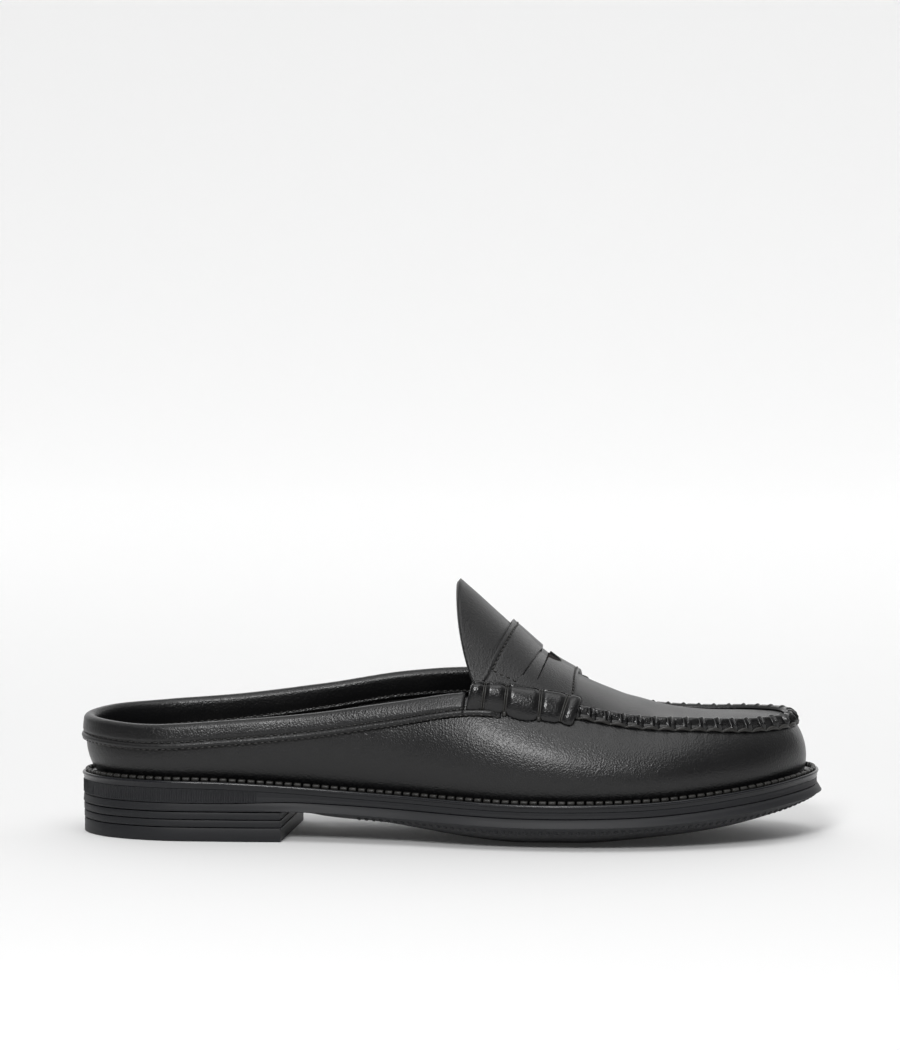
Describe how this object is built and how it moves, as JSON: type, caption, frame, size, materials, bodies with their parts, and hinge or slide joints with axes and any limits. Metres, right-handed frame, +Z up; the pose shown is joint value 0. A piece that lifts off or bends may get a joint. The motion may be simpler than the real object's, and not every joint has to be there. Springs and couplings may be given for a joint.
{
  "type": "loafer mule",
  "caption": "Low-backed slip-on loafer in black leather with a slotted saddle strap, gathered apron seam and stacked heel; right shoe.",
  "frame": {"origin": "middle of the shoe's box, on the floor", "axes": "+X from heel to toe, +Y to the inner side of the foot, +Z up"},
  "size_m": [0.3004, 0.1046, 0.1035],
  "materials": {
    "smooth_leather": "polished, fine grain",
    "lining_leather": "matte",
    "sole_rubber": "matte, moulded"
  },
  "bodies": {
    "root": {"upper": "smooth_leather", "collar_band": "smooth_leather", "gathered_seam": "smooth_leather", "saddle_strap": "smooth_leather", "beef_roll_outer": "smooth_leather", "beef_roll_inner": "smooth_leather", "insole": "lining_leather", "welt": "sole_rubber", "midsole": "sole_rubber", "outsole": "sole_rubber", "heel_lift_upper": "sole_rubber", "heel_lift_lower": "sole_rubber", "heel_top_piece": "sole_rubber"}
  },
  "joints": []
}
